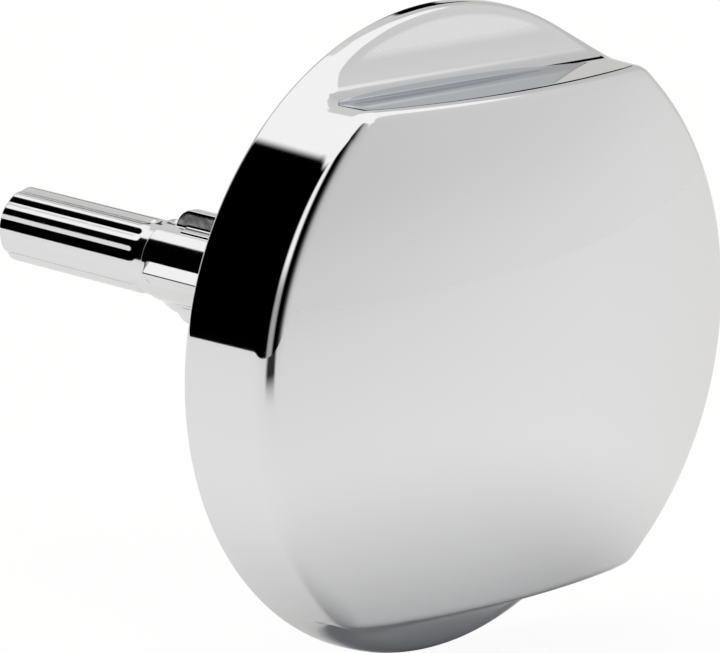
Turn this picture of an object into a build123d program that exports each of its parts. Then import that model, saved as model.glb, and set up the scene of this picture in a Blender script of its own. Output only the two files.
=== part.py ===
from build123d import *
from math import asin, atan, cos, sin, sqrt, tan, degrees, radians
import os

# Turning knob of a bath waste, millimetres. The origin is the centre of the rim's back edge,
# the front faces -Y, the stem points along +Y and Z is up.

# head
head_d = 72.0                         # across the back edge of the rim
rim_h = 11.8                          # back edge to where the rim meets the face
rim_lean = 0.8                        # how far the rim leans in over its height
dome_h = 7.1                          # rise of the face above the rim
face_edge_r = 1.8                     # rounding between rim and face
back_chamfer = 0.4                    # broken edge at the back of the rim
wall = 2.6                            # wall of the hollow head

# finger grips
grip_depth = 7.8                      # how far each grip cuts in from the rim
lip_t = 3.0                           # thickness of the lip left behind each grip
grip_r = 4.0                          # hollow corner between the bar's side and the lip
grip_edge_r = 1.0                     # rounding of the bar's side edges and the lip's edge
grip_lean = 0.5                       # degrees the bar's side leans out towards the lip

# inside of the head
boss_d = 16.0                         # boss that carries the stem
boss_set = 1.0                        # boss end below the back edge
web_t = 1.8                           # webs from the boss to the walls
web_set = 3.0                         # web edges below the back edge

# stem
stem_l = 65.4                         # back edge of the rim to the stem's tip
stem_d = 9.2                          # plain length behind the head
lobe_l = 22.4                         # lobed length, from the lobes' rounded ends to the tip
lobe_n = 12                           # rounded lobes round the tip
lobe_r = 0.9                          # bar that forms each lobe
lobe_turn = 1.5                       # degrees the first lobe stands above the -X side
crest_step = 0.2                      # lobe crest below the plain length, so a hub slides over the lobes only
lobe_depth = 0.3                      # crest to root
neck_l = 2.0                          # plain neck between the lobes and the shoulder
tip_chamfer = 0.25

# fins, pads and ribs on the plain length
fin_gap = 1.9                         # fins end this far short of the shoulder
fin_t = 1.4                           # fin at its edge
fin_lean = 7.5                        # degrees each fin side leans, so the fin is thicker at its foot
fin_rise = 2.0                        # fin edge above the plain length
fin_corner_r = 2.3                    # rounded corner at the end of each fin
foot_gap = 3.8                        # pads end this far short of the shoulder
foot_w = 4.0                          # low curved pad each fin stands on
foot_rise = 0.15                      # pad above the plain length
rib_gap = 0.6                         # side ribs end this far short of the shoulder
rib_w = 2.4                           # side rib where it leaves the plain length
rib_crest = 0.2                       # flat along the rib's crest
rib_rise = 1.2                        # side rib above the plain length
rib_drop = 0.35                       # rib crest below the stem's axis

# derived sizes
head_r = head_d / 2
rim_front_r = head_r - rim_lean
face_h = rim_h + dome_h
bar_half = head_r - grip_depth
stem_r = stem_d / 2
crest_r = stem_r - crest_step
root_r = crest_r - lobe_depth
lobe_start = stem_l - lobe_l
shoulder = lobe_start - neck_l
fin_end = shoulder - fin_gap
foot_end = shoulder - foot_gap
rib_end = shoulder - rib_gap
overlap = 0.5                         # buried length where two shapes join
reach = 2 * head_d                    # longer than anything it cuts through


def domed_disc(back_r, front_r, rim, dome):
    """Closed half outline of a disc with a leaning rim and a ball-shaped face."""
    ball = (front_r**2 + dome**2) / (2 * dome)
    half = asin(front_r / ball) / 2
    corner = (front_r, -rim)
    middle = (ball * sin(half), -(rim + dome - ball * (1 - cos(half))))
    top = (0, -(rim + dome))
    lines = Polyline((0, 0), (back_r, 0), corner) + ThreePointArc(corner, middle, top) + Line(top, (0, 0))
    return make_face(lines), corner


def corner_at(face, point):
    return face.vertices().sort_by_distance(Vector(point[0], point[1], 0))[0]


def head_outside():
    face, corner = domed_disc(head_r, rim_front_r, rim_h, dome_h)
    face = fillet(corner_at(face, corner), face_edge_r)
    face = chamfer(corner_at(face, (head_r, 0)), back_chamfer)
    return revolve(face, Axis.Y)


def grip_cut(side):
    """Straight cut in front of one lip, with a hollow corner where the bar's side meets the lip."""
    lean = sin(radians(grip_lean))
    front = -2 * face_h
    base_z = bar_half + lean * (rim_h - lip_t)
    front_z = base_z + lean * (front + lip_t)
    points = [(-lip_t, base_z), (front, front_z), (front, reach), (-lip_t, reach)]
    face = make_face(Polyline(*[(y, z) for y, z in points], close=True))
    face = fillet(corner_at(face, points[0]), grip_r)
    solid = extrude(Plane.YZ * face, reach, both=True)
    return solid if side > 0 else mirror(solid, Plane.XY)


def hollow():
    """Space inside the bar, open at the back, with a ceiling of two cones under the domed face."""
    rim_r = rim_front_r - wall
    low = rim_h - wall
    outline = [(0, 0), (head_r - wall, 0), (rim_r, -low), (rim_r / 2, -low - 0.75 * dome_h), (0, -low - dome_h)]
    space = revolve(make_face(Polyline(*outline, close=True)), Axis.Y)
    return space & Box(reach, reach, 2 * (bar_half - wall))


def head():
    body = head_outside() - grip_cut(1) - grip_cut(-1)
    body = fillet(grip_edges(body), grip_edge_r)
    return body - hollow()


def grip_edges(body):
    """Edges of both grips: along the bar's sides, down their ends and round the lips."""
    found = []
    for edge in body.edges():
        p = edge.center(CenterOf.BOUNDING_BOX)
        q = edge @ 0.5
        outside = abs(q.Z) > bar_half - 2 * grip_edge_r
        hollow_line = edge.geom_type == GeomType.LINE and abs(edge.tangent_at(0.5).X) > 0.99
        behind = p.Y > -lip_t + 0.01
        if outside and not hollow_line and not behind:
            found.append(edge)
    return found


def boss_and_webs():
    depth = face_h - wall / 2
    boss = cylinder_y(boss_d / 2, -depth, -boss_set)
    webs = Box(head_d - wall, depth - web_set, web_t) + Box(web_t, depth - web_set, 2 * bar_half - wall)
    webs = Pos(0, -(depth + web_set) / 2, 0) * webs
    filled = domed_disc(head_r - wall / 2, rim_front_r - wall / 2, rim_h - wall / 2, dome_h)[0]
    return (boss + webs) & revolve(filled, Axis.Y)


def cylinder_y(radius, y0, y1):
    """Cylinder about the Y axis from y0 to y1."""
    return Pos(0, (y0 + y1) / 2, 0) * Rot(90, 0, 0) * Cylinder(radius, y1 - y0)


def lobe():
    """One ball-ended bar at the -X side; its ball leaves the root where the lobed length starts."""
    centre_r = crest_r - lobe_r
    ball_y = lobe_start + sqrt(lobe_r**2 - (root_r - centre_r)**2)
    bar = cylinder_y(lobe_r, ball_y, stem_l) + Pos(0, ball_y, 0) * Sphere(lobe_r)
    return Pos(-centre_r, 0, 0) * bar


def lobed_tip():
    core = cylinder_y(root_r, shoulder - overlap, stem_l)
    step = 360 / lobe_n
    tip = core + [Rot(0, lobe_turn + i * step, 0) * lobe() for i in range(lobe_n)]
    crest = cylinder_y(crest_r, shoulder - overlap, stem_l)
    return tip & chamfer(crest.edges().sort_by(Axis.Y)[-1], tip_chamfer)


def fins():
    """Fins above and below with leaning sides, from the boss to their rounded ends."""
    root = -boss_set - overlap
    top = stem_r + fin_rise
    edge, foot = fin_t / 2, fin_t / 2 + top * tan(radians(fin_lean))
    points = [(-edge, top), (edge, top), (foot, 0), (edge, -top), (-edge, -top), (-foot, 0)]
    section = make_face(Polyline(*points, close=True))
    bar = extrude(Plane.XZ * section, -fin_end) + extrude(Plane.XZ * section, -root)
    corners = [(fin_end, -top), (fin_end, top)]
    outline = make_face(Polyline((root, -top), *corners, (root, top), close=True))
    outline = fillet([corner_at(outline, point) for point in corners], fin_corner_r)
    return bar & extrude(Plane.YZ * outline, reach, both=True)


def side_ribs():
    """Ribs along both sides of the plain length, sloping up to a narrow crest, with rounded ends."""
    lean = (rib_w - rib_crest) / 2 / rib_rise
    sink = stem_r / 4
    width = rib_w + 2 * sink * lean
    length = rib_end + boss_set + overlap + width
    slot = Rot(0, 0, 90) * SlotOverall(length, width)
    strip = extrude(slot, sink + rib_rise, taper=degrees(atan(lean)))
    strip = Pos(0, rib_end + sink * lean - length / 2, stem_r - sink) * strip
    return Pos(0, 0, -rib_drop) * (Rot(0, 90, 0) * strip + Rot(0, -90, 0) * strip)


def feet():
    """Low curved pads above and below the stem, as wide as foot_w."""
    root = -boss_set - overlap
    band = Pos(0, (root + foot_end) / 2, 0) * Box(foot_w, foot_end - root, reach)
    return band & cylinder_y(stem_r + foot_rise, root, foot_end)


def stem():
    body = cylinder_y(stem_r, -boss_set - overlap, shoulder) + lobed_tip()
    return body + fins() + feet() + side_ribs()


knob = head() + boss_and_webs() + stem()
os.makedirs("parts", exist_ok=True)
export_step(knob, "parts/control_knob.step")
print("volume_cm3", round(knob.volume / 1000, 2), "solids", len(knob.solids()), "box", knob.bounding_box())
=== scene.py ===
import bpy
import numpy as np
from mathutils import Matrix, Vector


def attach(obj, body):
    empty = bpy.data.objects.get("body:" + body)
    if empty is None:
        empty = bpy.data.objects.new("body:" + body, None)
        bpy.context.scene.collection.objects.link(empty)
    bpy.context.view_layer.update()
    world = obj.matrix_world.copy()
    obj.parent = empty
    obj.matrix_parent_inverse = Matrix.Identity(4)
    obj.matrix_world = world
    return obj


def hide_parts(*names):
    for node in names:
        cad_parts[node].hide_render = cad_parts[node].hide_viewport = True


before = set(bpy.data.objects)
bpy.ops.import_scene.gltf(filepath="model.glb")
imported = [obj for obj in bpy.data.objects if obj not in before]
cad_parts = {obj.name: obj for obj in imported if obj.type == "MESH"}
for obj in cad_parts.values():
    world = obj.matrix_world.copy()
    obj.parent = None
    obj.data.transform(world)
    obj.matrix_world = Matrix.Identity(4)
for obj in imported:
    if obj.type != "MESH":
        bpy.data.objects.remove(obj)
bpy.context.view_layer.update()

mm = 0.001
halvings = 36  # steps that bring a ray's end onto a surface
fineCount = 6001  # fine values that a crowding is summed over


# shapes are written as distances: below zero inside the solid, above zero outside

def roundedMeet(a, b, radius):  # overlap of two solids, its outer corner turned by a quarter circle
    corner = np.hypot(np.maximum(radius + a, 0), np.maximum(radius + b, 0))
    return np.minimum(-radius, np.maximum(a, b)) + corner


def roundedJoin(a, b, radius):  # union of two solids, its inner corner filled by a quarter circle
    corner = np.hypot(np.maximum(radius - a, 0), np.maximum(radius - b, 0))
    return np.maximum(radius, np.minimum(a, b)) - corner


def surfaceAlong(solid, start, seeds, low, high):  # rays from start to the seeds, halved onto the surface
    near = np.full(seeds.shape[:-1], low)
    far = np.full(seeds.shape[:-1], high)
    for halving in range(halvings):
        middle = (near + far) / 2
        inside = solid(start + (seeds - start) * middle[..., None]) < 0
        near = np.where(inside, middle, near)
        far = np.where(inside, far, middle)
    return start + (seeds - start) * near[..., None]


def crowded(count, low, high, places):  # values from low to high, closer near each (place, width, weight)
    fine = np.linspace(low, high, fineCount)
    density = np.ones_like(fine)
    for place, width, weight in places:
        density += weight * np.exp(-((fine - place) / width) ** 2)
    total = np.concatenate([[0], np.cumsum((density[1:] + density[:-1]) / 2)])
    return np.interp(np.linspace(0, total[-1], count), total, fine)


def steps(count):  # even shares of 1, one for each row, from 1 / count to 1
    return np.linspace(0, 1, count + 1)[1:, None]


def tubeMesh(name, grid, firstPole, lastPole):  # rows of closed rings in mm, with a pole that closes each end
    rows, columns = grid.shape[:2]
    row = np.arange(rows - 1)[:, None] * columns
    here = np.arange(columns)
    after = (here + 1) % columns
    quads = np.stack([row + here, row + after, row + columns + after, row + columns + here], -1)
    tip = rows * columns
    lastRing = tip - columns
    firstFan = np.stack([after, here, 0 * here + tip], -1)
    lastFan = np.stack([lastRing + here, lastRing + after, 0 * here + tip + 1], -1)
    points = np.concatenate([grid.reshape(-1, 3), [firstPole, lastPole]])
    mesh = bpy.data.meshes.new(name)
    faces = quads.reshape(-1, 4).tolist() + firstFan.tolist() + lastFan.tolist()
    mesh.from_pydata((points * mm).tolist(), [], faces)
    mesh.validate()
    return finishedPiece(name, mesh)


def finishedPiece(name, mesh):  # smooth shading, normals outwards by the sign of the mesh's volume
    mesh.calc_loop_triangles()
    corners = np.empty(len(mesh.loop_triangles) * 3, int)
    mesh.loop_triangles.foreach_get("vertices", corners)
    place = np.empty(len(mesh.vertices) * 3)
    mesh.vertices.foreach_get("co", place)
    a, b, c = np.moveaxis(place.reshape(-1, 3)[corners.reshape(-1, 3)], 1, 0)
    if np.einsum("ij,ij->i", a, np.cross(b, c)).sum() < 0:
        mesh.flip_normals()
    mesh.polygons.foreach_set("use_smooth", np.ones(len(mesh.polygons), bool))
    mesh.update()
    piece = bpy.data.objects.new(name, mesh)
    bpy.context.scene.collection.objects.link(piece)
    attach(piece, "root")
    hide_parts("control_knob")
    return piece


# the head: a domed disc with a leaning rim, cut back to a lip above and below, hollow behind

head = {  # millimetres, and degrees for gripLean
    "rimRadius": 36.0, "rimHeight": 11.8, "rimLean": 0.8, "domeRise": 7.1, "wall": 2.6,
    "gripDepth": 7.8, "gripLean": 0.5, "gripHollow": 4.1, "lip": 3.0,
    "faceEdge": 1.5, "sideEdge": 1.0, "lipEdge": 1.4, "backEdge": 0.7, "insideEdge": 1.2, "mouthEdge": 0.35,
    "lipBlend": (0.5, 2.5),  # the rounding grows from sideEdge to lipEdge this far out from the bar
    "rimBlend": 2.0,  # and from sideEdge to faceEdge this near the rim
    "columns": 500, "cornerCrowd": (5.0, 5.0),  # columns crowd round the bar's four corners: degrees, weight
    "edgeBand": 1.6, "edgeRoom": 0.1,  # closer rows each side of an edge, and spare length past a rounding
    "rayDepth": 0.7, "outsideSearch": (0.6, 1.3), "insideSearch": (0.3, 1.6),
    "ceilingLift": 1.0, "ceilingRise": 6.5, "ceilingShare": 0.985,  # where rays to the hollow's ceiling aim
    "rows": {"face": 40, "faceEdge": 12, "sideEdge": 12, "side": 14, "hollow": 26, "lip": 14, "lipEdge": 8,
             "rimTop": 9, "rim": 5, "backEdge": 7, "back": 6, "mouth": 4, "wall": 14, "ceiling": 26},
}
head["barHalf"] = head["rimRadius"] - head["gripDepth"]
head["faceHeight"] = head["rimHeight"] + head["domeRise"]
head["frontRadius"] = head["rimRadius"] - head["rimLean"]
head["ball"] = (head["frontRadius"] ** 2 + head["domeRise"] ** 2) / (2 * head["domeRise"])
head["ballCentre"] = head["faceHeight"] - head["ball"]
head["gripSlope"] = np.sin(np.radians(head["gripLean"]))


def rimRadiusAt(depth):  # straight lean from the back edge to the face
    return head["rimRadius"] - head["rimLean"] * depth / head["rimHeight"]


def barHalfAt(depth):  # the bar's side leans out towards the lip
    return head["barHalf"] + head["gripSlope"] * (head["rimHeight"] - depth)


def ballDepth(radius):  # height of the ball-shaped face over a plan radius
    return head["faceHeight"] - head["ball"] + np.sqrt(np.maximum(head["ball"] ** 2 - radius ** 2, 0))


def perSine(half, angle):  # plan radius at which a column meets a straight side half away from the axis
    return half / np.maximum(np.abs(np.sin(angle)), 1e-6)


def headSolid(p):  # rim, face and back meet; inside them the bar joins the lip
    x, depth, z = p[..., 0], -p[..., 1], p[..., 2]
    plan = np.hypot(x, z)
    rim = plan - rimRadiusAt(depth)
    bar = np.abs(z) - barHalfAt(depth)
    lip = depth - head["lip"]
    face = np.sqrt(plan ** 2 + (depth - head["ballCentre"]) ** 2) - head["ball"]
    near, far = head["lipBlend"]
    onLip = np.clip((bar - near) / (far - near), 0, 1)
    sideEdge = head["sideEdge"] + (head["lipEdge"] - head["sideEdge"]) * onLip
    side = roundedMeet(rim, roundedJoin(bar, lip, head["gripHollow"]), sideEdge)
    nearRim = np.clip((rim - bar + head["rimBlend"]) / (2 * head["rimBlend"]), 0, 1)
    edge = head["sideEdge"] + (head["faceEdge"] - head["sideEdge"]) * nearRim
    return roundedMeet(roundedMeet(side, face, edge), -depth, head["backEdge"])


def hollowSolid(p):  # the space behind: the same three surfaces one wall further in
    x, depth, z = p[..., 0], -p[..., 1], p[..., 2]
    plan = np.hypot(x, z)
    rim = plan - (rimRadiusAt(depth + head["wall"]) - head["wall"])
    bar = np.abs(z) - (head["barHalf"] - head["wall"])
    face = np.sqrt(plan ** 2 + (depth - head["ballCentre"]) ** 2) - (head["ball"] - head["wall"])
    return roundedMeet(roundedMeet(rim, bar, head["insideEdge"]), face, head["insideEdge"])


def headSeeds(angle):  # radius and depth of each column's rows, from the middle of the face to the back edge
    count, band, spare = head["rows"], head["edgeBand"], head["edgeRoom"]
    lip, hollow = head["lip"], head["gripHollow"]
    rim = rimRadiusAt(lip)
    bar = np.minimum(perSine(barHalfAt(lip), angle), rim)[None]
    barTop = np.minimum(perSine(barHalfAt(head["rimHeight"]), angle), head["frontRadius"])[None]
    top = ballDepth(barTop)
    low = lip + hollow
    width = np.minimum(perSine(hollow, angle)[None], rim - bar)
    lipEdge = np.minimum(head["lipEdge"] + 2 * spare, rim - bar - width)
    turnIn = head["backEdge"] + spare
    inner = (barTop - band) * steps(count["face"])
    rising = barTop - band + band * steps(count["faceEdge"])
    side = steps(count["side"])
    turn = steps(count["hollow"]) * np.pi / 2
    strips = [  # face and its edge, top and side of the bar, hollow corner, lip and its edge, rim, back edge
        (inner, ballDepth(inner)),
        (rising, ballDepth(rising)),
        (barTop, top - band * steps(count["sideEdge"])),
        (barTop + (bar - barTop) * side, top - band + (low - top + band) * side),
        (bar + width * (1 - np.cos(turn)), low - hollow * np.sin(turn)),
        (bar + width + (rim - lipEdge - bar - width) * steps(count["lip"]), lip),
        (rim - lipEdge + lipEdge * steps(count["lipEdge"]), lip),
        (rim, lip - band * steps(count["rimTop"])),
        (rim, lip - band - (lip - band - turnIn) * steps(count["rim"])),
        (head["rimRadius"], turnIn * (1 - steps(count["backEdge"]))),
        (head["rimRadius"] - (turnIn + 2 * spare) * steps(count["back"]), 0.0),
    ]
    filled = [np.broadcast_arrays(radius, depth, bar)[:2] for radius, depth in strips]
    radius, depth = (np.concatenate(values) for values in zip(*filled))
    return spreadRows(radius, depth)


def spreadRows(radius, depth):  # rows moved a third of the way to even spacing, so that none coincide
    stride = np.hypot(np.diff(radius, axis=0), np.diff(depth, axis=0))
    run = np.concatenate([0 * radius[:1], np.cumsum(stride, 0)])
    even = run[-1:] * np.linspace(0, 1, len(run))[:, None]
    wanted = run + (even - run) / 3

    def moved(values):  # each column read again at its wanted lengths
        return np.stack([np.interp(w, r, v) for w, r, v in zip(wanted.T, run.T, values.T)], 1)

    return moved(radius), moved(depth)


def planPoints(radius, depth, angle):  # radius and depth per column to X, Y, Z
    return np.stack(np.broadcast_arrays(radius * np.cos(angle), -depth, radius * np.sin(angle)), -1)


def buildHead():  # rays halved onto the outside and onto the hollow, joined across the flat back
    count, wall, mouth = head["rows"], head["wall"], head["mouthEdge"]
    corner = np.degrees(np.arcsin(head["barHalf"] / head["frontRadius"]))
    corners = [(c, *head["cornerCrowd"]) for c in (corner, 180 - corner, 180 + corner, 360 - corner)]
    angle = np.radians(crowded(head["columns"] + 1, 0, 360, corners)[:-1])
    start = np.array([0, -head["rayDepth"], 0])
    outside = surfaceAlong(headSolid, start, planPoints(*headSeeds(angle), angle), *head["outsideSearch"])
    wallLine = np.minimum(head["rimRadius"] - wall, perSine(head["barHalf"] - wall, angle))[None]
    ceiling = head["rimHeight"] - wall + head["ceilingLift"]
    up = planPoints(wallLine, mouth + (ceiling - mouth) * steps(count["wall"]), angle)
    inward = steps(count["ceiling"])
    closing = wallLine * (1 - inward * head["ceilingShare"])
    across = planPoints(closing, ceiling + head["ceilingRise"] * inward, angle)
    inside = surfaceAlong(hollowSolid, np.zeros(3), np.concatenate([up, across]), *head["insideSearch"])
    edge = outside[-1:]
    mouthLine = planPoints(wallLine + mouth, 0 * wallLine, angle)
    back = edge + (mouthLine - edge) * steps(count["mouth"])[..., None]
    grid = np.concatenate([outside, back, inside])
    print("head: rows and columns", grid.shape[:2])
    return tubeMesh("knobHead", grid, [0, -head["faceHeight"], 0], [0, wall - head["faceHeight"], 0])


# boss and webs that carry the stem inside the head

bossAndWebs = {  # millimetres, with below and top as depths from the rim's back edge towards the face
    "radius": 8.0, "below": 1.0, "edge": 0.6, "top": 17.0, "endRings": [6.0, 4.0, 2.0],
    "columns": 128, "sideRows": 6, "edgeRows": 9,
    "webThick": 1.8, "webBelow": 3.0, "webEdge": 0.5, "webTop": 15.0, "webSink": 1.0,
    "webStart": 5.0, "webRows": 12, "webEdgeRows": 7,
    "arms": (("webRight", 0, 34.0), ("webUp", 90, 27.0), ("webLeft", 180, 34.0), ("webDown", 270, 27.0)),
}


def buildBoss():  # a turned profile: up the side, round the edge, in to the stem
    shape = bossAndWebs
    edge, below, rings = shape["edge"], shape["below"], shape["endRings"]
    turn = np.linspace(0, np.pi / 2, shape["edgeRows"])
    side = np.linspace(shape["top"], below + edge + head["edgeRoom"], shape["sideRows"])
    radius = np.concatenate([0 * side + shape["radius"], shape["radius"] - edge * (1 - np.cos(turn)), rings])
    depth = np.concatenate([side, below + edge * (1 - np.sin(turn)), [below] * len(rings)])
    angle = np.linspace(0, 2 * np.pi, shape["columns"] + 1)[:-1]
    grid = planPoints(radius[:, None], depth[:, None], angle)
    print("boss: rows and columns", grid.shape[:2])
    return tubeMesh("knobBoss", grid, [0, -shape["top"], 0], [0, -below, 0])


def buildWebs():  # one rounded bar outline carried along each arm of the cross, sunk into wall and boss
    shape = bossAndWebs
    half, edge, low = shape["webThick"] / 2, shape["webEdge"], shape["webBelow"]
    turn = np.linspace(0, np.pi / 2, shape["webEdgeRows"])
    left, right = -half + edge * (1 - np.cos(turn)), half - edge + edge * np.sin(turn)
    across = np.concatenate([[-half], left, right, [half]])
    risen = [shape["webTop"]]
    depth = np.concatenate([risen, low + edge * (1 - np.sin(turn)), low + edge * (1 - np.cos(turn)), risen])
    pieces = []
    for name, direction, reach in shape["arms"]:
        along = np.linspace(shape["webStart"], reach, shape["webRows"])[:, None]
        top = np.minimum(depth, ballDepth(along) - shape["webSink"])
        turned = np.radians(direction)
        x = along * np.cos(turned) - across * np.sin(turned)
        z = along * np.sin(turned) + across * np.cos(turned)
        grid = np.stack([x, -top, z], -1)
        pieces.append(tubeMesh(name, grid, grid[0].mean(0), grid[-1].mean(0)))
    print("webs:", len(pieces))
    return pieces


# the stem: plain length with fins and low ribs, a neck, and the splined tip

stem = {  # millimetres, and degrees for lobeTurn and finLean
    "length": 65.4, "plainRadius": 4.6, "shoulder": 41.0, "shoulderEdge": 0.25, "shoulderHollow": 0.15,
    "lobes": 12, "lobeTurn": 1.73, "crestRadius": 4.274, "rootRadius": 4.172, "lobeRadius": 0.483,
    "lobeStart": 43.3, "lobeHollow": 0.775, "lobeMeet": 0.05, "tipRadius": 4.45, "tipChamfer": 0.25,
    "finEnd": 39.1, "finHalf": 0.7, "finTip": 6.6, "finLean": 7.2,
    "finCorner": 2.3, "finEdge": 0.25, "finHollow": 0.2,
    "footEnd": 37.2, "footHalf": 2.0, "footTop": 4.75, "smallEdge": 0.1,
    "ribEnd": 40.4, "ribHalf": 1.2, "ribCrest": 0.1, "ribTop": 5.8, "ribDrop": 0.35, "ribEdge": 0.06,
    # columns crowd at these places round the stem, in degrees, by a width and a weight
    "columns": 560, "finPlaces": (80, 100, 260, 280), "finCrowd": (4.0, 2.5),
    "ribPlaces": (-4, 184, 356), "ribCrowd": (6.0, 4.0),
    "rows": 168, "sunk": 3.0, "rayReach": 9.0, "raySearch": (0.1, 1.0), "endRings": 7, "finEndCrowd": 0.5,
}
stem["ribSlope"] = (stem["ribHalf"] - stem["ribCrest"]) / (stem["ribTop"] - stem["plainRadius"])
stem["lobeCentre"] = stem["crestRadius"] - stem["lobeRadius"]
stem["lobeStand"] = stem["rootRadius"] - stem["lobeCentre"]
stem["ballAt"] = stem["lobeStart"] + np.sqrt(stem["lobeRadius"] ** 2 - stem["lobeStand"] ** 2)


def lobeSolid(radius, offset, y):  # ball-ended bar: distance to its centre line less its radius
    out = radius * np.cos(offset) - stem["lobeCentre"]
    across = radius * np.sin(offset)
    before = np.maximum(stem["ballAt"] - y, 0)
    return np.sqrt(out ** 2 + across ** 2 + before ** 2) - stem["lobeRadius"]


def lobedCore(radius, turn, y):  # the nearest lobe and the one after it, filled in towards the core
    pitch = 2 * np.pi / stem["lobes"]
    offset = np.abs((turn - np.radians(stem["lobeTurn"]) + pitch / 2) % pitch - pitch / 2)
    lobes = roundedJoin(lobeSolid(radius, offset, y), lobeSolid(radius, pitch - offset, y), stem["lobeMeet"])
    return roundedJoin(radius - stem["rootRadius"], lobes, stem["lobeHollow"])


def finSolid(side, height, y):  # leaning flanks met with an outline that has a rounded end
    s = stem
    lean = np.radians(s["finLean"])
    flank = (side - s["finHalf"] - (s["finTip"] - height) * np.tan(lean)) * np.cos(lean)
    outline = roundedMeet(height - s["finTip"], y - s["finEnd"], s["finCorner"])
    return roundedMeet(flank, outline, s["finEdge"])


def footSolid(side, radius, y):  # low band on the plain length under each fin
    s = stem
    band = roundedMeet(radius - s["footTop"], y - s["footEnd"], s["smallEdge"])
    return roundedMeet(side - s["footHalf"], band, s["smallEdge"])


def ribSolid(side, z, y):  # sloping flanks up to a narrow crest, with a round end like a cone's
    s = stem
    across = np.hypot(z + s["ribDrop"], np.maximum(y - s["ribEnd"] + s["ribHalf"], 0))
    slope = across - s["ribHalf"] + s["ribSlope"] * (side - s["plainRadius"])
    return roundedMeet(slope / np.hypot(1, s["ribSlope"]), side - s["ribTop"], s["ribEdge"])


def stemSolid(p):  # lobed core joined to the plain length, feet, ribs and fins, then chamfered
    x, y, z = p[..., 0], p[..., 1], p[..., 2]
    s = stem
    radius = np.hypot(x, z)
    side, height = np.abs(x), np.abs(z)
    plain = roundedMeet(radius - s["plainRadius"], y - s["shoulder"], s["shoulderEdge"])
    body = roundedJoin(lobedCore(radius, np.arctan2(z, -x), y), plain, s["shoulderHollow"])
    body = roundedJoin(body, np.minimum(footSolid(side, radius, y), ribSolid(side, z, y)), s["smallEdge"])
    body = roundedJoin(body, finSolid(side, height, y), s["finHollow"])
    tip = (y - s["length"] + radius - s["tipRadius"] + s["tipChamfer"]) / np.sqrt(2)
    return roundedMeet(body, tip, s["smallEdge"])


def buildStem():  # rays square to the axis halved onto the stem, then rings across the flat end
    s = stem
    fins = [(place, *s["finCrowd"]) for place in s["finPlaces"]]
    ribs = [(place, *s["ribCrowd"]) for place in s["ribPlaces"]]
    angle = np.radians(crowded(s["columns"] + 1, 0, 360, fins + ribs)[:-1])
    ends = [(s["finEnd"] - s["finEndCrowd"], 1.2, 14), (s["ribEnd"], 0.8, 14), (s["footEnd"], 0.3, 16),
            (s["shoulder"], 0.35, 22), (s["lobeStart"], 0.9, 12), (s["length"], 0.4, 14)]
    along = crowded(s["rows"], -s["sunk"], s["length"], ends)
    start = np.stack([0 * along, along, 0 * along], -1)[:, None, :] + 0 * angle[None, :, None]
    seeds = start + s["rayReach"] * np.stack([-np.cos(angle), 0 * angle, np.sin(angle)], -1)[None]
    side = surfaceAlong(stemSolid, start, seeds, *s["raySearch"])
    axis = np.array([0, s["length"], 0])
    end = axis + (side[-1:] - axis) * np.linspace(1, 0, s["endRings"] + 2)[1:-1, None, None]
    grid = np.concatenate([side, end])
    print("stem: rows and columns", grid.shape[:2])
    return tubeMesh("knobStem", grid, [0, -s["sunk"], 0], axis)


# bright plating: one mirror finish, a little softer on the stem and satin in the hollow

plating = {
    "colour": (0.66, 0.70, 0.76, 1.0), "edgeTint": (0.86, 0.86, 0.86, 1.0),
    "cloudScale": 60.0, "cloudDetail": 4.0, "rippleDetail": 2.0,
    "brightPlating": {"gloss": 0.03, "vary": 0.25, "ripple": 0.004, "rippleScale": 30.0},
    "stemPlating": {"gloss": 0.1, "vary": 0.5, "ripple": 0.012, "rippleScale": 400.0},
    "insidePlating": {"gloss": 0.28, "vary": 0.3, "ripple": 0.05, "rippleScale": 300.0},
}


def noiseNode(tree, where, scale, detail):  # cloudy noise over the piece's own coordinates
    noise = tree.nodes.new("ShaderNodeTexNoise")
    noise.inputs["Scale"].default_value = scale
    noise.inputs["Detail"].default_value = detail
    tree.links.new(where.outputs["Object"], noise.inputs["Vector"])
    return noise.outputs["Fac"]


def platingMaterial(name):  # metal whose gloss drifts with one noise and whose surface ripples with another
    finish = plating[name]
    material = bpy.data.materials.new(name)
    material.use_nodes = True
    tree = material.node_tree
    shader = tree.nodes["Principled BSDF"]
    shader.inputs["Base Color"].default_value = plating["colour"]
    shader.inputs["Metallic"].default_value = 1.0
    shader.inputs["Specular Tint"].default_value = plating["edgeTint"]
    where = tree.nodes.new("ShaderNodeTexCoord")
    spread = tree.nodes.new("ShaderNodeMapRange")
    spread.inputs["To Min"].default_value = finish["gloss"] * (1 - finish["vary"])
    spread.inputs["To Max"].default_value = finish["gloss"] * (1 + finish["vary"])
    cloud = noiseNode(tree, where, plating["cloudScale"], plating["cloudDetail"])
    tree.links.new(cloud, spread.inputs["Value"])
    tree.links.new(spread.outputs["Result"], shader.inputs["Roughness"])
    bump = tree.nodes.new("ShaderNodeBump")
    bump.inputs["Strength"].default_value = finish["ripple"]
    bump.inputs["Distance"].default_value = mm
    wave = noiseNode(tree, where, finish["rippleScale"], plating["rippleDetail"])
    tree.links.new(wave, bump.inputs["Height"])
    tree.links.new(bump.outputs["Normal"], shader.inputs["Normal"])
    return material


# stage: a white table in a room with pale boards, a dark side and a bright ceiling; compass 0 is +X, 90 is +Y

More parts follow.
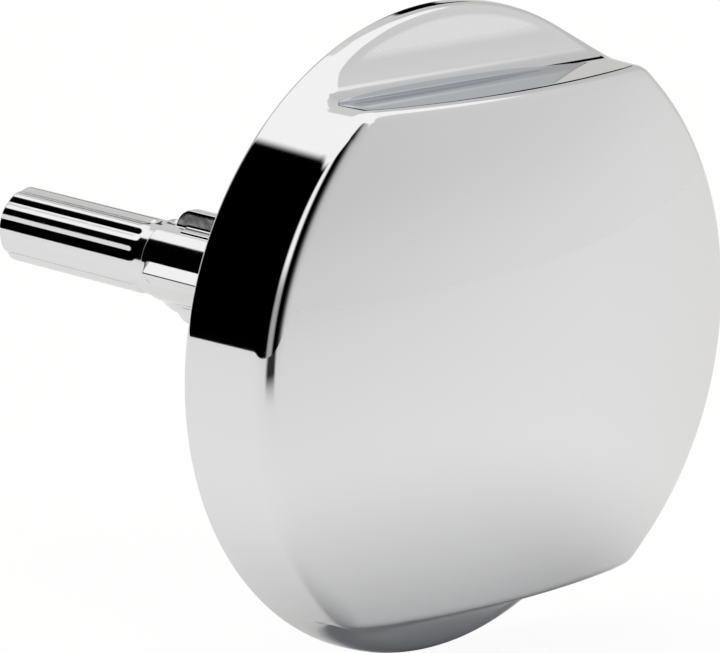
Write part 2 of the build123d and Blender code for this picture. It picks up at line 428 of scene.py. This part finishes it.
room = {
    "warm": (1.061, 1.0, 0.921, 1.0),
    "board": [(0, 0.86), (12, 0.75), (28, 0.73), (40, 0.8), (60, 0.86), (80, 0.75), (98, 0.43), (112, 0.0),
              (184, 0.0), (232, 0.0), (238, 0.03), (243, 0.15), (248, 0.35), (253, 0.56), (260, 0.7),
              (270, 0.75), (300, 0.82), (340, 0.87), (360, 0.86)],  # compass degrees and level
    "strip": [(0, 0.0), (194, 0.0), (202, 1.24), (212, 1.24), (220, 0.0), (360, 0.0)],
    "boardLow": (-3.0, 13.0, 1.14, 1.0), "stripLow": (14.0, 27.0, 0.4, 1.0),  # heights, then levels there
    "ceiling": [(0, 46), (8, 50), (20, 59), (45, 57), (55, 51), (62, 46), (72, 46), (78, 44), (84, 38),
                (90, 33), (105, 36), (112, 41), (120, 47), (128, 51), (140, 55), (155, 58), (215, 58),
                (235, 62), (248, 60), (262, 48), (272, 36), (287, 36), (299, 51), (320, 57), (340, 49),
                (350, 46), (360, 46)],  # compass degrees and height of the ceiling's edge
    "ceilingSoft": 2.0, "ceilingLevel": 1.26, "gapDepth": 0.7, "ovalEdge": (0.6, 1.2),
    # each oval: compass degrees, half width, height, half height
    "darkSpot": (44.0, 10.5, 25.0, 8.0), "ceilingGap": (68.0, 5.5, 47.0, 2.2),
    "sidesOnTable": 0.25,
}
heightScale = 90.0  # the ramp stores the ceiling's heights as shares of a right angle


def mathNode(tree, operation, *values):  # one sum, with sockets or plain numbers as inputs
    node = tree.nodes.new("ShaderNodeMath")
    node.operation = operation
    for slot, value in zip(node.inputs, values):
        if isinstance(value, (int, float)):
            slot.default_value = value
        else:
            tree.links.new(value, slot)
    return node.outputs[0]


def times(tree, a, b):
    return mathNode(tree, "MULTIPLY", a, b)


def plus(tree, a, b):
    return mathNode(tree, "ADD", a, b)


def minus(tree, a, b):
    return mathNode(tree, "SUBTRACT", a, b)


def stepNode(tree, value, low, high, first, last):  # smooth step from first to last between low and high
    node = tree.nodes.new("ShaderNodeMapRange")
    node.interpolation_type = "SMOOTHSTEP"
    for name, number in (("From Min", low), ("From Max", high), ("To Min", first), ("To Max", last)):
        node.inputs[name].default_value = number
    tree.links.new(value, node.inputs["Value"])
    return node.outputs["Result"]


def compassRamp(tree, compass, stops, scale=1.0):  # a level by compass degrees, as a ramp over one full turn
    ramp = tree.nodes.new("ShaderNodeValToRGB")
    ramp.color_ramp.interpolation = "LINEAR"
    marks = ramp.color_ramp.elements
    for degrees, level in stops[2:]:
        marks.new(degrees / 360)
    for mark, (degrees, level) in zip(marks, stops):
        mark.position = degrees / 360
        mark.color = (level / scale, level / scale, level / scale, 1)
    tree.links.new(compass, ramp.inputs["Fac"])
    return ramp.outputs["Color"]


def oval(tree, compass, height, name):  # 1 inside an oval patch of the room, 0 outside it
    middleTurn, wide, middleHeight, tall = room[name]
    offTurn = times(tree, minus(tree, compass, middleTurn / 360), 360 / wide)
    offHeight = times(tree, minus(tree, height, middleHeight), 1 / tall)
    away = plus(tree, times(tree, offTurn, offTurn), times(tree, offHeight, offHeight))
    return stepNode(tree, away, *room["ovalEdge"], 1.0, 0.0)


def whiteForCamera(tree, other, output, share=1.0):  # camera rays see a share of plain white
    path = tree.nodes.new("ShaderNodeLightPath")
    white = tree.nodes.new("ShaderNodeBackground" if "World" in output.bl_idname else "ShaderNodeEmission")
    white.inputs["Color"].default_value = (1, 1, 1, 1)
    mix = tree.nodes.new("ShaderNodeMixShader")
    tree.links.new(times(tree, path.outputs["Is Camera Ray"], share), mix.inputs[0])
    tree.links.new(other, mix.inputs[1])
    tree.links.new(white.outputs[0], mix.inputs[2])
    tree.links.new(mix.outputs[0], output.inputs["Surface"])


def buildRoom():  # boards and strip by compass direction up to the ceiling's edge, even light above it
    world = bpy.data.worlds.new("studioRoom")
    bpy.context.scene.world = world
    world.use_nodes = True
    tree = world.node_tree
    tree.nodes.clear()
    output = tree.nodes.new("ShaderNodeOutputWorld")
    where = tree.nodes.new("ShaderNodeTexCoord")
    split = tree.nodes.new("ShaderNodeSeparateXYZ")
    tree.links.new(where.outputs["Generated"], split.inputs[0])
    turn = mathNode(tree, "ARCTAN2", split.outputs["Y"], split.outputs["X"])
    compass = mathNode(tree, "FRACT", times(tree, turn, 0.5 / np.pi))
    height = times(tree, mathNode(tree, "ARCSINE", split.outputs["Z"]), 180 / np.pi)
    board = times(tree, compassRamp(tree, compass, room["board"]), stepNode(tree, height, *room["boardLow"]))
    strip = times(tree, compassRamp(tree, compass, room["strip"]), stepNode(tree, height, *room["stripLow"]))
    walls = times(tree, plus(tree, board, strip), minus(tree, 1.0, oval(tree, compass, height, "darkSpot")))
    edge = times(tree, compassRamp(tree, compass, room["ceiling"], heightScale), heightScale)
    soft = room["ceilingSoft"]
    share = stepNode(tree, minus(tree, height, edge), -soft, soft, 0.0, 1.0)
    gap = times(tree, oval(tree, compass, height, "ceilingGap"), room["gapDepth"])
    share = times(tree, share, minus(tree, 1.0, gap))
    walls = times(tree, walls, minus(tree, 1.0, share))
    level = plus(tree, walls, times(tree, share, room["ceilingLevel"]))
    path = tree.nodes.new("ShaderNodeLightPath")  # the walls hardly light the table, so the shadow stays deep
    unlit = times(tree, times(tree, walls, 1 - room["sidesOnTable"]), path.outputs["Is Diffuse Ray"])
    light = tree.nodes.new("ShaderNodeBackground")
    tree.links.new(minus(tree, level, unlit), light.inputs["Strength"])
    light.inputs["Color"].default_value = room["warm"]
    whiteForCamera(tree, light.outputs[0], output)
    print("room: boards, strip and ceiling")


table = {  # millimetres for height and radius, metres in fall and dark, compass degrees for towards
    "height": -36.2, "radius": 800.0, "columns": 128, "colour": (0.88, 0.88, 0.88, 1.0), "roughness": 0.9,
    "white": 0.95,  # share of plain white that the camera sees, the rest is the shaded paper
    # painted shade: fall darkens the paper's colour with distance, most towards one compass side, and dark
    # paints a shadow over a wedge out towards another side
    "fall": {"towards": 235.0, "least": 0.03, "most": 0.19, "reach": 0.35, "power": 1.5},
    "dark": {"towards": 217.0, "first": 0.13, "last": 0.3, "narrow": 0.16, "wide": 0.36},
}


def paperPaintedShade(tree, where):  # painted shade on the paper: darker with distance, most to one side, and a painted shadow darkens a wedge
    fall, dark = table["fall"], table["dark"]
    split = tree.nodes.new("ShaderNodeSeparateXYZ")
    tree.links.new(where.outputs["Object"], split.inputs[0])
    length = tree.nodes.new("ShaderNodeVectorMath")
    length.operation = "LENGTH"
    tree.links.new(where.outputs["Object"], length.inputs[0])
    far = length.outputs["Value"]

    def towards(compass):  # distance along one compass direction
        turned = np.radians(compass)
        x, y = split.outputs["X"], split.outputs["Y"]
        return plus(tree, times(tree, x, np.cos(turned)), times(tree, y, np.sin(turned)))

    share = mathNode(tree, "MAXIMUM", mathNode(tree, "DIVIDE", towards(fall["towards"]), far), 0.0)
    depth = times(tree, fall["most"], mathNode(tree, "POWER", share, fall["power"]))
    depth = plus(tree, fall["least"], depth)
    gone = minus(tree, 1.0, mathNode(tree, "EXPONENT", times(tree, far, -1 / fall["reach"])))
    across = mathNode(tree, "ABSOLUTE", mathNode(tree, "DIVIDE", towards(dark["towards"] + 90), far))
    wedge = stepNode(tree, across, dark["narrow"], dark["wide"], 1.0, 0.0)
    out = stepNode(tree, towards(dark["towards"]), dark["first"], dark["last"], 0.0, 1.0)
    return times(tree, minus(tree, 1.0, times(tree, depth, gone)), minus(tree, 1.0, times(tree, wedge, out)))


def buildTable():  # a flat round sheet of paper under the knob
    turn = np.linspace(0, 2 * np.pi, table["columns"] + 1)[:-1]
    radius, height = table["radius"], table["height"]
    ring = np.stack([radius * np.cos(turn), radius * np.sin(turn), 0 * turn + height], -1)
    mesh = bpy.data.meshes.new("paleTable")
    mesh.from_pydata((ring * mm).tolist(), [], [list(range(table["columns"]))])
    sheet = bpy.data.objects.new("paleTable", mesh)
    bpy.context.scene.collection.objects.link(sheet)
    material = bpy.data.materials.new("palePaper")
    material.use_nodes = True
    tree = material.node_tree
    shader = tree.nodes["Principled BSDF"]
    tint = tree.nodes.new("ShaderNodeMix")
    tint.data_type = "RGBA"
    tint.inputs["A"].default_value = (0, 0, 0, 1)
    tint.inputs["B"].default_value = table["colour"]
    # painted shade: the paper's colour is mixed towards black by the painted falloff and the painted shadow
    # wedge
    tree.links.new(paperPaintedShade(tree, tree.nodes.new("ShaderNodeTexCoord")), tint.inputs["Factor"])
    tree.links.new(tint.outputs["Result"], shader.inputs["Base Color"])
    shader.inputs["Roughness"].default_value = table["roughness"]
    whiteForCamera(tree, shader.outputs[0], tree.nodes["Material Output"], table["white"])
    mesh.materials.append(material)
    print("table: paper laid")


lampFit = {"direction": (0.1, -0.32, -1.2), "spread": 62.0, "power": 1.98}


def buildLamp():  # one wide soft light from above and behind the knob, not mirrored in the plating
    data = bpy.data.lights.new("softCeiling", "SUN")
    data.angle = np.radians(lampFit["spread"])
    data.energy = lampFit["power"]
    data.color = room["warm"][:3]
    lamp = bpy.data.objects.new("softCeiling", data)
    lamp.rotation_euler = Vector(lampFit["direction"]).to_track_quat("-Z", "Y").to_euler()
    lamp.visible_glossy = False
    bpy.context.scene.collection.objects.link(lamp)


cameraFit = {  # millimetres, degrees, and pixels of a picture 720 wide, fitted to the photograph's edges
    "place": (-473.237, -470.144, 159.287), "turn": 45.4135, "drop": 13.4583, "roll": 1.2448,
    "focalPixels": 6320.3, "width": 720, "shiftPixels": (-1.04, 1.32), "sensor": 36.0, "clip": (0.01, 20.0),
}


def buildCamera():  # faces the compass turn, looks down by drop, and leans by roll about its line of sight
    fit = cameraFit
    turn, drop, roll = np.radians([fit["turn"], fit["drop"], fit["roll"]])
    facing = np.array([np.cos(turn) * np.cos(drop), np.sin(turn) * np.cos(drop), -np.sin(drop)])
    level = np.array([np.sin(turn), -np.cos(turn), 0.0])
    right = level * np.cos(roll) + np.cross(level, facing) * np.sin(roll)
    axes = Matrix(np.stack([right, np.cross(right, facing), -facing], 1).tolist()).to_4x4()
    data = bpy.data.cameras.new("photoView")
    data.sensor_width = fit["sensor"]
    data.lens = fit["focalPixels"] / fit["width"] * fit["sensor"]
    data.shift_x, data.shift_y = (pixels / fit["width"] for pixels in fit["shiftPixels"])
    data.clip_start, data.clip_end = fit["clip"]
    camera = bpy.data.objects.new("photoView", data)
    camera.matrix_world = Matrix.Translation(np.array(fit["place"]) * mm) @ axes
    bpy.context.scene.collection.objects.link(camera)
    bpy.context.scene.camera = camera


headFinish, stemFinish, insideFinish = map(platingMaterial, ("brightPlating", "stemPlating", "insidePlating"))
buildHead().data.materials.append(headFinish)
for insidePiece in [buildBoss(), *buildWebs()]:
    insidePiece.data.materials.append(insideFinish)
buildStem().data.materials.append(stemFinish)
print("pieces built")
buildRoom()
buildTable()
buildLamp()
buildCamera()
bpy.context.scene.view_settings.view_transform = "Standard"
print("lamp and camera set")
